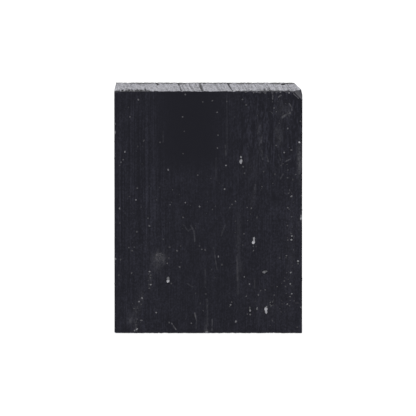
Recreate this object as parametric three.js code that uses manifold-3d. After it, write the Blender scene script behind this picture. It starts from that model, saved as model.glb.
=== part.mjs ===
// A block of compressed drawing charcoal: one pressed body of carbon powder and binder, with no loose pieces.
// It is extruded along its height and sawn to length, and it stands on one sawn end.
// Millimetres, +Z up. The origin is the centre of the lower end, and the broad front face looks along -Y.
import * as THREE from "three";
import { mergeVertices } from "three/addons/utils/BufferGeometryUtils.js";
import Module from "manifold-3d";

// Driving dimensions.
const WIDTH = 46; // across the broad faces
const THICKNESS = 15; // between the broad faces
const HEIGHT = 60; // between the sawn ends
const ARRIS_RADIUS = 0.35; // the four long edges, rounded by the die
const END_CHAMFER = 0.18; // the edges of each sawn end, crumbled by the saw

// Die lines: shallow grooves that run the whole height, placed across each face.
const DIE_LINE = { width: 0.42, depth: 0.1 };
const FRONT_DIE_LINES = [-18.8, -16.6, -13.0, -10.9, 4.6, 7.3, 12.2, 19.4];
const BACK_DIE_LINES = [-17.7, -11.4, -8.2, -2.9, 3.4, 9.8, 15.1, 20.2];
const SIDE_DIE_LINES = [-4.4, 2.1, 5.2];

// Saw marks: grooves across the thickness of each end.
// Each crosses the middle of the end at x, and leans off square.
const TOP_SAW_MARKS = [
  { x: -6.95, leanDegrees: 3.6, width: 0.5, depth: 0.28 },
  { x: -4.3, leanDegrees: 3.6, width: 0.38, depth: 0.11 },
  { x: -1.75, leanDegrees: 3.0, width: 0.66, depth: 0.28 },
  { x: 2.1, leanDegrees: 5.0, width: 0.34, depth: 0.1 },
  { x: 5.25, leanDegrees: 5.4, width: 0.42, depth: 0.2 },
  { x: 11.7, leanDegrees: 7.0, width: 0.34, depth: 0.11 },
  { x: 14.3, leanDegrees: 7.6, width: 0.38, depth: 0.15 },
];
const BASE_SAW_MARKS = [
  { x: -15.2, leanDegrees: 4.4, width: 0.6, depth: 0.15 },
  { x: -7.4, leanDegrees: 4.0, width: 0.4, depth: 0.12 },
  { x: 8.8, leanDegrees: 4.8, width: 1.1, depth: 0.18 },
  { x: 13.5, leanDegrees: 4.4, width: 0.4, depth: 0.12 },
];

// Corner flake: the chip at the front top right corner.
// Its scar meets three edges at these distances from the corner.
const CORNER_FLAKE = { alongX: 2.1, alongY: 3.0, alongZ: 2.25 };
const CORNER_FLAKE_RADIUS = 6.5;
const CORNER_FLAKE_HOLLOW = 0.26;
// A shallow, flatter scar around it reaches this much further along X and Z.
const CORNER_LIP = 0.35;
const CORNER_LIP_RADIUS = 20;
const CORNER_LIP_HOLLOW = -0.05;

// Side flake: a thin slice knocked off the right side, deepest at the back top corner.
const SIDE_FLAKE = { alongX: 2.1, alongY: 14.6, alongZ: 16 };
// Side wear: a thinner slice rubbed off the left side, deepest at the back top corner.
const SIDE_WEAR = { alongX: 0.45, alongY: 14.8, alongZ: 24 };

// Small knocks on the edges and in the top.
// Each has the centre of its scoop, its radius, and its stretch along each axis.
const FRONT = -THICKNESS / 2;
const BACK = THICKNESS / 2;
const LEFT = -WIDTH / 2;
const RIGHT = WIDTH / 2;
const KNOCKS = [
  // The ends of the top's back edge.
  { at: [RIGHT - 1.5, BACK + 0.5, HEIGHT + 0.25], radius: 0.95, stretch: [1, 1, 2.2] },
  { at: [LEFT + 0.5, BACK + 0.35, HEIGHT + 0.3], radius: 0.7, stretch: [1.8, 1, 1] },
  // A slanting slit behind, and a pit near the back right corner.
  { at: [-12.8, BACK - 1.2, HEIGHT + 0.12], radius: 0.36, stretch: [0.9, 2.6, 1.1] },
  { at: [-12.55, BACK - 2.7, HEIGHT + 0.12], radius: 0.36, stretch: [0.9, 2.6, 1.1] },
  { at: [-12.3, BACK - 4.3, HEIGHT + 0.14], radius: 0.34, stretch: [0.9, 2.8, 1.1] },
  { at: [18.3, BACK - 3.3, HEIGHT + 0.12], radius: 0.52, stretch: [1.1, 2.4, 1] },
  // Crumbs lost along the front edge of the top.
  { at: [-21.6, FRONT - 0.2, HEIGHT + 0.1], radius: 0.5, stretch: [1.6, 1, 1.1] },
  { at: [7.6, FRONT - 0.25, HEIGHT + 0.1], radius: 0.5, stretch: [1, 1, 1] },
  { at: [9.2, FRONT - 0.25, HEIGHT + 0.15], radius: 0.52, stretch: [1.8, 1, 1] },
  { at: [11, FRONT - 0.2, HEIGHT + 0.1], radius: 0.55, stretch: [0.7, 1, 1.2] },
  { at: [12.4, FRONT - 0.2, HEIGHT + 0.1], radius: 0.58, stretch: [1.6, 1, 1.1] },
  { at: [13.8, FRONT - 0.2, HEIGHT + 0.1], radius: 0.55, stretch: [1.4, 1, 1.1] },
  { at: [15.6, FRONT - 0.2, HEIGHT + 0.1], radius: 0.52, stretch: [0.8, 1, 1.8] },
  { at: [16.7, FRONT - 0.2, HEIGHT], radius: 0.5, stretch: [1.2, 1, 1.2] },
  { at: [17.5, FRONT - 0.2, HEIGHT + 0.1], radius: 0.52, stretch: [0.7, 1, 1.4] },
  { at: [19.1, FRONT - 0.25, HEIGHT + 0.1], radius: 0.6, stretch: [1.4, 1, 1.1] },
  // The right and left edges of the front.
  { at: [RIGHT + 0.35, FRONT - 0.3, 43.2], radius: 0.6, stretch: [1, 1, 7] },
  { at: [RIGHT + 0.3, FRONT - 0.3, 34.2], radius: 0.5, stretch: [1, 1, 1.2] },
  { at: [RIGHT + 0.3, FRONT - 0.3, 31.2], radius: 0.45, stretch: [1, 1, 1.5] },
  { at: [RIGHT + 0.25, FRONT - 0.25, 28.7], radius: 0.62, stretch: [1, 1, 1.7] },
  { at: [RIGHT + 0.3, FRONT - 0.3, 6.5], radius: 0.5, stretch: [1, 1, 1] },
  { at: [LEFT - 0.35, FRONT - 0.3, 51.9], radius: 0.5, stretch: [1, 1, 1] },
  { at: [LEFT - 0.35, FRONT - 0.3, 49.8], radius: 0.62, stretch: [1, 1, 1.6] },
  { at: [LEFT - 0.3, FRONT - 0.3, 18.45], radius: 0.6, stretch: [1, 1, 1] },
  // The back edges, and the edges of the base.
  { at: [LEFT - 0.3, BACK + 0.3, 21.5], radius: 0.7, stretch: [1, 1, 2.4] },
  { at: [RIGHT + 0.3, BACK + 0.25, 12.4], radius: 0.7, stretch: [1, 1, 1.8] },
  { at: [LEFT + 0.1, FRONT - 0.3, -0.25], radius: 0.7, stretch: [1, 1, 1] },
  { at: [-0.4, FRONT - 0.3, -0.15], radius: 0.6, stretch: [1.2, 1, 1] },
  { at: [3.4, FRONT - 0.3, -0.2], radius: 0.5, stretch: [1.2, 1, 1] },
  { at: [9.7, BACK + 0.3, -0.3], radius: 0.8, stretch: [2.2, 1, 1] },
];

// Tears: tapering scoops that the saw left in the front edge of the top, mostly at its left.
// Each starts at x on the edge, and has a width there, a length back from the edge, and a depth.
const TEARS = [
  { x: -20.8, width: 0.62, length: 5.6, depth: 0.26 },
  { x: -20.0, width: 0.5, length: 2.6, depth: 0.22 },
  { x: -19.2, width: 0.45, length: 3.6, depth: 0.2 },
  { x: -18.4, width: 0.6, length: 5.0, depth: 0.24 },
  { x: -17.6, width: 0.45, length: 2.8, depth: 0.22 },
  { x: -17.1, width: 0.5, length: 4.6, depth: 0.22 },
  { x: -16.2, width: 0.5, length: 3.4, depth: 0.22 },
  { x: -15.1, width: 0.62, length: 5.8, depth: 0.26 },
  { x: -14.6, width: 0.4, length: 2.2, depth: 0.2 },
  { x: 13.9, width: 0.55, length: 5.6, depth: 0.24 },
  { x: 15.1, width: 0.45, length: 3.4, depth: 0.2 },
];
const TEAR_LEAN = THREE.MathUtils.degToRad(4.4);

// Pits in the broad faces, where pale grains sit or have fallen out.
// Each has its centre, and the width, height and lean of its mouth.
const PIT_DEPTH = 0.28;
const FRONT_PITS = [
  { x: 8.0, z: 42.9, width: 1.0, height: 2.1, lean: 0 },
  { x: 11.1, z: 23.1, width: 1.0, height: 2.1, lean: -0.15 },
  { x: 13.85, z: 15.35, width: 1.7, height: 1.0, lean: 0 },
  { x: -9.85, z: 13.3, width: 1.1, height: 1.8, lean: 0 },
  { x: 14.15, z: 5.8, width: 1.1, height: 2.3, lean: 0 },
  { x: 10.2, z: 5.6, width: 0.7, height: 2.2, lean: 0 },
  { x: 15.5, z: 7.45, width: 1.2, height: 1.2, lean: 0 },
  { x: 20.35, z: 23.7, width: 0.8, height: 1.6, lean: 0 },
  { x: 22.0, z: 17.6, width: 0.8, height: 1.4, lean: 0 },
];
const BACK_PITS = [
  { x: -14.6, z: 44.1, width: 0.9, height: 1.9, lean: 0.2 },
  { x: 6.2, z: 31.5, width: 1.2, height: 1.1, lean: 0 },
  { x: 12.8, z: 12.4, width: 0.9, height: 1.7, lean: -0.3 },
  { x: -5.4, z: 8.9, width: 1.5, height: 1.0, lean: 0.1 },
];

// Smoothness of the long edges: facets round each.
const ARRIS_FACETS = 4;

// Smoothness of the scars: facets round and across a flake's ball, and subdivisions of the smaller balls.
const FLAKE_FACETS = { around: 96, across: 64 };
const KNOCK_DETAIL = 3;
const PIT_DETAIL = 2;

// How far the cutters run past the body, and the size of the slabs that cut its flats.
const CUTTER_EXCESS = 4;
const SLAB = { side: 80, thickness: 6 };

const WELD_DISTANCE = 1e-4; // points nearer than this are one point
const CHARCOAL = { color: 0x27272d, roughness: 0.7, metalness: 0 };

const wasm = await Module();
wasm.setup();

// A closed geometry as a solid for cutting.
function solidFrom(geometry) {
  const bare = geometry.clone();
  bare.deleteAttribute("normal");
  bare.deleteAttribute("uv");
  const merged = mergeVertices(bare, WELD_DISTANCE);
  return new wasm.Manifold(
    new wasm.Mesh({
      numProp: 3,
      vertProperties: merged.attributes.position.array,
      triVerts: new Uint32Array(merged.index.array),
    }),
  );
}

// A solid as a geometry with flat-shaded faces.
function geometryFrom(solid) {
  const { numVert, numProp, vertProperties, triVerts } = solid.getMesh();
  const positions = new Float32Array(numVert * 3);
  for (let i = 0; i < numVert; i++) {
    positions.set(vertProperties.subarray(i * numProp, i * numProp + 3), i * 3);
  }
  const geometry = new THREE.BufferGeometry();
  geometry.setAttribute("position", new THREE.BufferAttribute(positions, 3));
  geometry.setIndex(new THREE.BufferAttribute(new Uint32Array(triVerts), 1));
  const flat = geometry.toNonIndexed();
  flat.computeVertexNormals();
  return flat;
}

// The extruded and sawn body, before any wear: a rounded rectangle with chamfered ends.
function sawnBody() {
  const x = WIDTH / 2 - ARRIS_RADIUS;
  const y = THICKNESS / 2 - ARRIS_RADIUS;
  const quarter = Math.PI / 2;
  const outline = new THREE.Shape();
  outline.absarc(x, -y, ARRIS_RADIUS, -quarter, 0);
  outline.absarc(x, y, ARRIS_RADIUS, 0, quarter);
  outline.absarc(-x, y, ARRIS_RADIUS, quarter, 2 * quarter);
  outline.absarc(-x, -y, ARRIS_RADIUS, 2 * quarter, 3 * quarter);
  outline.closePath();
  const body = new THREE.ExtrudeGeometry(outline, {
    depth: HEIGHT - 2 * END_CHAMFER,
    curveSegments: ARRIS_FACETS,
    bevelEnabled: true,
    bevelSegments: 1,
    bevelSize: END_CHAMFER,
    bevelThickness: END_CHAMFER,
    bevelOffset: -END_CHAMFER,
  });
  return body.translate(0, 0, END_CHAMFER);
}

// A long cutter with a diamond section, which leaves a V groove where its middle lies on a face.
// It runs along Z, and its width is along X and its depth along Y.
function grooveCutter(width, depth, length) {
  const section = new THREE.Shape();
  section.moveTo(-width / 2, 0);
  section.lineTo(0, -depth);
  section.lineTo(width / 2, 0);
  section.lineTo(0, depth);
  section.closePath();
  const cutter = new THREE.ExtrudeGeometry(section, { depth: length, bevelEnabled: false });
  return cutter.translate(0, 0, -length / 2);
}

function dieLineCutters() {
  const length = HEIGHT + CUTTER_EXCESS;
  const line = () => grooveCutter(DIE_LINE.width, DIE_LINE.depth, length);
  const cutters = [];
  for (const x of FRONT_DIE_LINES) {
    cutters.push(line().translate(x, FRONT, HEIGHT / 2));
  }
  for (const x of BACK_DIE_LINES) {
    cutters.push(line().translate(x, BACK, HEIGHT / 2));
  }
  for (const y of SIDE_DIE_LINES) {
    cutters.push(line().rotateZ(Math.PI / 2).translate(LEFT, y, HEIGHT / 2));
    cutters.push(line().rotateZ(Math.PI / 2).translate(RIGHT, -y, HEIGHT / 2));
  }
  return cutters;
}

function sawMarkCutters(marks, z) {
  const length = THICKNESS + CUTTER_EXCESS;
  return marks.map(({ x, leanDegrees, width, depth }) =>
    grooveCutter(width, depth, length)
      .rotateX(Math.PI / 2)
      .rotateZ(THREE.MathUtils.degToRad(leanDegrees))
      .translate(x, 0, z),
  );
}

// The direction out of the flat that meets a corner's three edges at the ends of its legs.
// outward is the sign of each axis at the corner.
function flatNormal(legs, outward) {
  const slopes = new THREE.Vector3(1 / legs.alongX, 1 / legs.alongY, 1 / legs.alongZ);
  return slopes.multiply(outward).normalize();
}

// A ball that leaves a hollow flake scar across a corner.
// legs are how far the scar reaches along each axis, and hollow is its depth below the flat through them.
function flakeCutter(corner, legs, outward, radius, hollow) {
  const reach = new THREE.Vector3(legs.alongX, legs.alongY, legs.alongZ);
  const normal = flatNormal(legs, outward);
  const middle = corner.clone().addScaledVector(reach.multiply(outward), -1 / 3);
  const centre = middle.addScaledVector(normal, radius - hollow);
  const ball = new THREE.SphereGeometry(radius, FLAKE_FACETS.around, FLAKE_FACETS.across);
  return ball.translate(centre.x, centre.y, centre.z);
}

// A slab whose inner face is the flat through the ends of the three legs of a corner.
function flatCutter(corner, legs, outward) {
  const normal = flatNormal(legs, outward);
  const onFlat = corner.clone().setX(corner.x - legs.alongX * outward.x);
  const slab = new THREE.BoxGeometry(SLAB.side, SLAB.side, SLAB.thickness);
  const turn = new THREE.Quaternion().setFromUnitVectors(new THREE.Vector3(0, 0, 1), normal);
  const middle = onFlat.addScaledVector(normal, SLAB.thickness / 2);
  return slab.applyQuaternion(turn).translate(middle.x, middle.y, middle.z);
}

function sideCutters() {
  return [
    flatCutter(new THREE.Vector3(RIGHT, BACK, HEIGHT), SIDE_FLAKE, new THREE.Vector3(1, 1, 1)),
    flatCutter(new THREE.Vector3(LEFT, BACK, HEIGHT), SIDE_WEAR, new THREE.Vector3(-1, 1, 1)),
  ];
}

function pitCutters(pits, y) {
  return pits.map(({ x, z, width, height, lean }) =>
    new THREE.IcosahedronGeometry(1, PIT_DETAIL)
      .scale(width / 2, PIT_DEPTH, height / 2)
      .rotateY(lean)
      .translate(x, y, z),
  );
}

function knockCutters() {
  return KNOCKS.map(({ at, radius, stretch }) =>
    new THREE.IcosahedronGeometry(radius, KNOCK_DETAIL).scale(...stretch).translate(...at),
  );
}

function tearCutters() {
  return TEARS.map(({ x, width, length, depth }) =>
    new THREE.IcosahedronGeometry(1, KNOCK_DETAIL)
      .scale(width / 2, length, depth)
      .rotateZ(TEAR_LEAN)
      .translate(x, FRONT, HEIGHT),
  );
}

function cornerFlakeCutters() {
  const corner = new THREE.Vector3(RIGHT, FRONT, HEIGHT);
  const outward = new THREE.Vector3(1, -1, 1);
  const lip = {
    alongX: CORNER_FLAKE.alongX + CORNER_LIP,
    alongY: CORNER_FLAKE.alongY,
    alongZ: CORNER_FLAKE.alongZ + CORNER_LIP,
  };
  return [
    flakeCutter(corner, CORNER_FLAKE, outward, CORNER_FLAKE_RADIUS, CORNER_FLAKE_HOLLOW),
    flakeCutter(corner, lip, outward, CORNER_LIP_RADIUS, CORNER_LIP_HOLLOW),
  ];
}

function charcoalBlock() {
  const cutters = [
    ...dieLineCutters(),
    ...sawMarkCutters(TOP_SAW_MARKS, HEIGHT),
    ...sawMarkCutters(BASE_SAW_MARKS, 0),
    ...cornerFlakeCutters(),
    ...sideCutters(),
    ...knockCutters(),
    ...tearCutters(),
    ...pitCutters(FRONT_PITS, FRONT),
    ...pitCutters(BACK_PITS, BACK),
  ];
  let block = solidFrom(sawnBody());
  for (const cutter of cutters) {
    block = block.subtract(solidFrom(cutter));
  }
  const mesh = new THREE.Mesh(geometryFrom(block), new THREE.MeshStandardMaterial(CHARCOAL));
  mesh.name = "charcoal_block";
  return mesh;
}

const charcoalStick = new THREE.Group();
charcoalStick.name = "charcoal_stick";
charcoalStick.add(charcoalBlock());

export default charcoalStick;
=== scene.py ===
"""A block of pressed drawing charcoal, standing on a sawn end on a pale floor in soft studio light.

The block is one body. A dense mesh of the same size stands for its CAD solid and adds what is too fine
for it: striations from the die, saw marks, crumbled edges, scars, pits, scratches and pale grains.
Lengths are in millimetres unless a name or a comment says otherwise.
"""
import math

import bpy
import numpy as np
from mathutils import Matrix, Vector
from mathutils.bvhtree import BVHTree


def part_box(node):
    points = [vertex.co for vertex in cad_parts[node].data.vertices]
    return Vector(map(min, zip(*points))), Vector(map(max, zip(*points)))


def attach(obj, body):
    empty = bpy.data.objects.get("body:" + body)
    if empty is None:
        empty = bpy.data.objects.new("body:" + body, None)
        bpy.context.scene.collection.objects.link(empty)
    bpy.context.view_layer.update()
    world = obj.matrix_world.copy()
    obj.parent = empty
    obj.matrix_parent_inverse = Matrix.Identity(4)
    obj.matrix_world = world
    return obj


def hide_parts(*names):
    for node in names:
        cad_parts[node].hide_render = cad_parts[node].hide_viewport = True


MM = 0.001

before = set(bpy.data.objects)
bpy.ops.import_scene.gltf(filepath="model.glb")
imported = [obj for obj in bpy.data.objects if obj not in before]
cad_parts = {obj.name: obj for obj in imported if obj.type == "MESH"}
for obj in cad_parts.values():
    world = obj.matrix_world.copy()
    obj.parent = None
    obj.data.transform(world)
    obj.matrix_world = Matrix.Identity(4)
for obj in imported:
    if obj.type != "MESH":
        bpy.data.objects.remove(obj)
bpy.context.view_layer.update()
scene = bpy.context.scene

# The block's faces. The mesh is made in millimetres and scaled to metres at the end.
LOW = np.array(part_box("charcoal_block")[0]) / MM
HIGH = np.array(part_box("charcoal_block")[1]) / MM
LEFT, FRONT, BASE = LOW
RIGHT, BACK, TOP = HIGH

# Mesh density.
GRID_STEP = 0.15
EDGE_PACKING = 0.35  # how much closer the grid lines are at the edges than on average
FINAL_TRIANGLES = 185_000

# Edges.
ARRIS_RADIUS = 0.18
END_RADIUS = 0.32
ARRIS_VARIATION = 0.08
EDGE_RADIUS_RANGE = (0.06, 0.5)

# Camera, in metres.
CAMERA_ELEVATION = math.radians(9.0)
CAMERA_DISTANCE = 2.4
CAMERA_CLIP = (0.05, 60.0)
FIELD_WIDTH = 0.10155  # width in view at the front face
CAMERA_AIM = Vector((-0.00007, FRONT * MM, 0.03112))
SENSOR_WIDTH = 36.0

# Floor, backdrop and light, in metres. The floor glows, to be as white as an overexposed backdrop.
FLOOR_HALF_SIZE = 15.0
FLOOR_GREY = 0.3
FLOOR_GLOW = 0.88
SKY = ((0.35, 1.0), (0.6, 0.5))  # sine of the elevation, brightness
SKY_STRENGTH = 1.2
LAMP_PLACE = Vector((0.0, 0.15, 1.2))
LAMP_SIZE = 0.8
LAMP_ENERGY = 4.0


# ---------------------------------------------------------------- camera, floor and light

def link(obj):
    scene.collection.objects.link(obj)
    return obj


def make_camera():
    data = bpy.data.cameras.new("camera")
    data.sensor_width = SENSOR_WIDTH
    data.lens = SENSOR_WIDTH * CAMERA_DISTANCE / FIELD_WIDTH
    data.clip_start, data.clip_end = CAMERA_CLIP
    camera = link(bpy.data.objects.new("camera", data))
    outward = Vector((0, -math.cos(CAMERA_ELEVATION), math.sin(CAMERA_ELEVATION)))
    camera.location = CAMERA_AIM + outward * CAMERA_DISTANCE
    camera.rotation_euler = (-outward).to_track_quat("-Z", "Y").to_euler()
    scene.camera = camera


def make_floor():
    corners = ((-1, -1), (1, -1), (1, 1), (-1, 1))
    mesh = bpy.data.meshes.new("floor")
    mesh.from_pydata([(x * FLOOR_HALF_SIZE, y * FLOOR_HALF_SIZE, 0) for x, y in corners], [], [(0, 1, 2, 3)])
    floor = link(bpy.data.objects.new("floor", mesh))
    material = bpy.data.materials.new("floor")
    material.use_nodes = True
    shader = material.node_tree.nodes["Principled BSDF"]
    shader.inputs["Base Color"].default_value = (FLOOR_GREY, FLOOR_GREY, FLOOR_GREY, 1)
    shader.inputs["Roughness"].default_value = 1.0
    shader.inputs["Specular IOR Level"].default_value = 0.0
    shader.inputs["Emission Color"].default_value = (1, 1, 1, 1)
    shader.inputs["Emission Strength"].default_value = FLOOR_GLOW
    mesh.materials.append(material)


def make_world():
    world = bpy.data.worlds.new("studio")
    world.use_nodes = True
    scene.world = world
    tree = world.node_tree
    background = tree.nodes["Background"]
    direction = tree.nodes.new("ShaderNodeTexCoord")
    parts = tree.nodes.new("ShaderNodeSeparateXYZ")
    ramp = tree.nodes.new("ShaderNodeValToRGB")
    tree.links.new(direction.outputs["Generated"], parts.inputs[0])
    tree.links.new(parts.outputs["Z"], ramp.inputs["Fac"])
    tree.links.new(ramp.outputs["Color"], background.inputs["Color"])
    for element, (height, level) in zip(ramp.color_ramp.elements, SKY):
        element.position = height
        element.color = (level, level, level, 1)
    background.inputs["Strength"].default_value = SKY_STRENGTH


def make_overhead_lamp():
    data = bpy.data.lights.new("overhead", "AREA")
    data.shape = "SQUARE"
    data.size = LAMP_SIZE
    data.energy = LAMP_ENERGY
    lamp = link(bpy.data.objects.new("overhead", data))
    lamp.location = LAMP_PLACE
    lamp.rotation_euler = LAMP_PLACE.to_track_quat("Z", "Y").to_euler()


# ---------------------------------------------------------------- repeatable noise

def hashed(ix, iy, iz, seed):
    """A number from 0 to 1 for each lattice point, always the same for the same point and seed."""
    h = ix.astype(np.uint32) * np.uint32(0x9E3779B1)
    h ^= iy.astype(np.uint32) * np.uint32(0x85EBCA77)
    h ^= iz.astype(np.uint32) * np.uint32(0xC2B2AE3D)
    h ^= np.uint32((seed * 0x27D4EB2F) & 0xFFFFFFFF)
    h ^= h >> np.uint32(15)
    h *= np.uint32(0x2C1B3C6D)
    h ^= h >> np.uint32(12)
    h *= np.uint32(0x297A2D39)
    h ^= h >> np.uint32(15)
    return h.astype(np.float64) / 2.0**32


def noise(points, size, seed):
    """Smooth noise from -1 to 1, with lumps of the given size (x, y, z)."""
    scaled = points / np.asarray(size, dtype=float)
    cell = np.floor(scaled)
    t = scaled - cell
    t = t * t * t * (t * (t * 6 - 15) + 10)
    cell = cell.astype(np.int64)
    total = np.zeros(len(points))
    for corner in range(8):
        step = (corner & 1, corner >> 1 & 1, corner >> 2 & 1)
        weight = np.ones(len(points))
        for axis in range(3):
            weight *= t[:, axis] if step[axis] else 1 - t[:, axis]
        total += weight * hashed(cell[:, 0] + step[0], cell[:, 1] + step[1], cell[:, 2] + step[2], seed)
    return total * 2 - 1


def fractal(points, size, seed, octaves=3):
    """Noise summed over octaves, each half as large and half as strong as the one before."""
    size = np.asarray(size, dtype=float)
    total = np.zeros(len(points))
    for octave in range(octaves):
        total += noise(points, size / 2**octave, seed + octave) / 2**octave
    return total


def peaks(values, threshold):
    """How far the values rise above a threshold."""
    return np.clip(values - threshold, 0, None)


def smooth(low, high, value):
    """0 below low, 1 above high, and a smooth step between them."""
    t = np.clip((value - low) / (high - low), 0, 1)
    return t * t * (3 - 2 * t)


def band(value, centre, half_width):
    """1 round the centre, falling softly away past half a width from it."""
    return np.exp(-((value - centre) / half_width) ** 4)


def unit(vector):
    return vector / np.linalg.norm(vector)


# ---------------------------------------------------------------- the block's mesh

def stations(count):
    """Grid lines from 0 to 1, closer together at both ends."""
    u = np.linspace(0, 1, count + 1)
    return u - EDGE_PACKING * np.sin(2 * np.pi * u) / (2 * np.pi)


def box_grid():
    """A closed grid over the block's six faces: points and quads."""
    counts = np.round((HIGH - LOW) / GRID_STEP).astype(int)
    size = counts + 1
    quads = []
    for axis in range(3):
        across, along = (axis + 1) % 3, (axis + 2) % 3
        u, v = np.meshgrid(np.arange(counts[across]), np.arange(counts[along]), indexing="ij")
        for side in (0, counts[axis]):
            corners = []
            for du, dv in ((0, 0), (1, 0), (1, 1), (0, 1)):
                index = [None] * 3
                index[axis] = np.full(u.size, side)
                index[across] = (u + du).ravel()
                index[along] = (v + dv).ravel()
                corners.append((index[0] * size[1] + index[1]) * size[2] + index[2])
            if side == 0:
                corners.reverse()
            quads.append(np.stack(corners, axis=1))
    keys, quads = np.unique(np.concatenate(quads), return_inverse=True)
    quads = quads.reshape(-1, 4)
    index = (keys // size[2] // size[1], keys // size[2] % size[1], keys % size[2])
    points = [LOW[axis] + (HIGH - LOW)[axis] * stations(counts[axis])[index[axis]] for axis in range(3)]
    return np.stack(points, axis=1), quads


def end_zone(points, outer, inner):
    """1 within `inner` of the two sawn ends, and 0 from `outer` away."""
    return smooth(TOP / 2 - outer, TOP / 2 - inner, np.abs(points[:, 2] - TOP / 2))


def round_edges(points):
    """The box with its edges rounded by a radius that wanders, and its outward normals."""
    radius = ARRIS_RADIUS + (END_RADIUS - ARRIS_RADIUS) * end_zone(points, 1.0, 0.4)
    radius += ARRIS_VARIATION * fractal(points, (2.5, 2.5, 2.5), 11, 3)
    radius = np.clip(radius, *EDGE_RADIUS_RANGE)[:, None]
    core = np.clip(points, LOW + radius, HIGH - radius)
    offset = points - core
    normals = offset / np.linalg.norm(offset, axis=1, keepdims=True)
    return core + normals * radius, normals


def edge_nearness(points, reach):
    """1 on the edges of the box, and 0 from `reach` away."""
    depth = np.minimum(points - LOW, HIGH - points)
    second = np.sort(depth, axis=1)[:, 1]
    return 1 - smooth(0, reach, second)


# Striations that the die left along the height of every pressed face: spacing, depth and seed.
STRIATIONS = (
    ((1.7, 1.7, 120.0), 0.016, 21), ((0.8, 0.8, 70.0), 0.012, 22), ((0.38, 0.38, 32.0), 0.010, 23),
    ((0.22, 0.22, 12.0), 0.006, 24),
)
GROOVE_DEPTH = 0.09
DIE_LINE_WIDTH = 0.2
DIE_LINE_DEPTH = 0.09
LINE_FADE = 0.35  # the share of a line's depth that comes and goes along it
LINE_WANDER = 0.08
FRONT_DIE_LINES = (-18.8, -16.6, -13.0, -10.9, 4.6, 7.3, 12.2, 19.4)
BACK_DIE_LINES = (-17.7, -11.4, -8.2, -2.9, 3.4, 9.8, 15.1, 20.2)
SIDE_DIE_LINES = (-4.4, 2.1, 5.2)
PRESSED_PORE_DEPTH = 0.15
PRESSED_UNEVENNESS = 0.012

# Fine ridges that the saw left across the ends, in the same terms as the striations, along its marks.
SAW_ANGLE = math.radians(4.4)
SAW_RIDGES = (((1.1, 30.0, 9.0), 0.018, 41), ((0.45, 18.0, 9.0), 0.016, 42), ((0.24, 6.0, 9.0), 0.012, 43))
SAWN_PORE_DEPTH = 0.25
SAWN_UNEVENNESS = 0.016
# Separate saw marks, a few degrees off square: where each crosses the middle, its lean in degrees,
# width and depth.
TOP_SAW_MARKS = (
    (-6.95, 3.6, 0.24, 0.34), (-5.4, 4.6, 0.15, 0.10), (-4.3, 3.6, 0.18, 0.13), (-3.2, 4.8, 0.14, 0.11),
    (-1.75, 3.0, 0.32, 0.34), (2.1, 5.0, 0.16, 0.12), (3.1, 3.2, 0.16, 0.10), (5.25, 5.4, 0.2, 0.25),
    (7.2, 5.6, 0.14, 0.10), (9.0, 5.2, 0.12, 0.09), (11.7, 7.0, 0.16, 0.13), (14.3, 7.6, 0.18, 0.18),
    (16.2, 6.5, 0.14, 0.10), (19.8, 7.0, 0.16, 0.12), (-15.4, 4.4, 0.12, 0.06), (-18.6, 4.0, 0.14, 0.07),
)
BASE_SAW_MARKS = (
    (-15.2, 4.4, 0.3, 0.15), (-7.4, 4.0, 0.2, 0.12), (8.8, 4.8, 0.5, 0.16), (13.5, 4.4, 0.2, 0.12),
)

# The flake at the front top right corner: how far its scar reaches along each edge.
CORNER_FLAKE = (2.1, 3.0, 2.25)
# Its shallow outer scar and its hollow inner one: how much further each reaches, its radius and hollow.
CORNER_SCARS = ((0.35, 20.0, -0.05), (0.0, 6.5, 0.26))
# The flake off the right side, deepest at the back top corner, and how pale its break is.
SIDE_FLAKE = (2.1, 14.6, 16.0)
SIDE_FLAKE_PALENESS = 0.6
# The wear on the left side, deepest at the back top corner.
SIDE_WEAR = (0.45, 14.8, 24.0)

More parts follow.
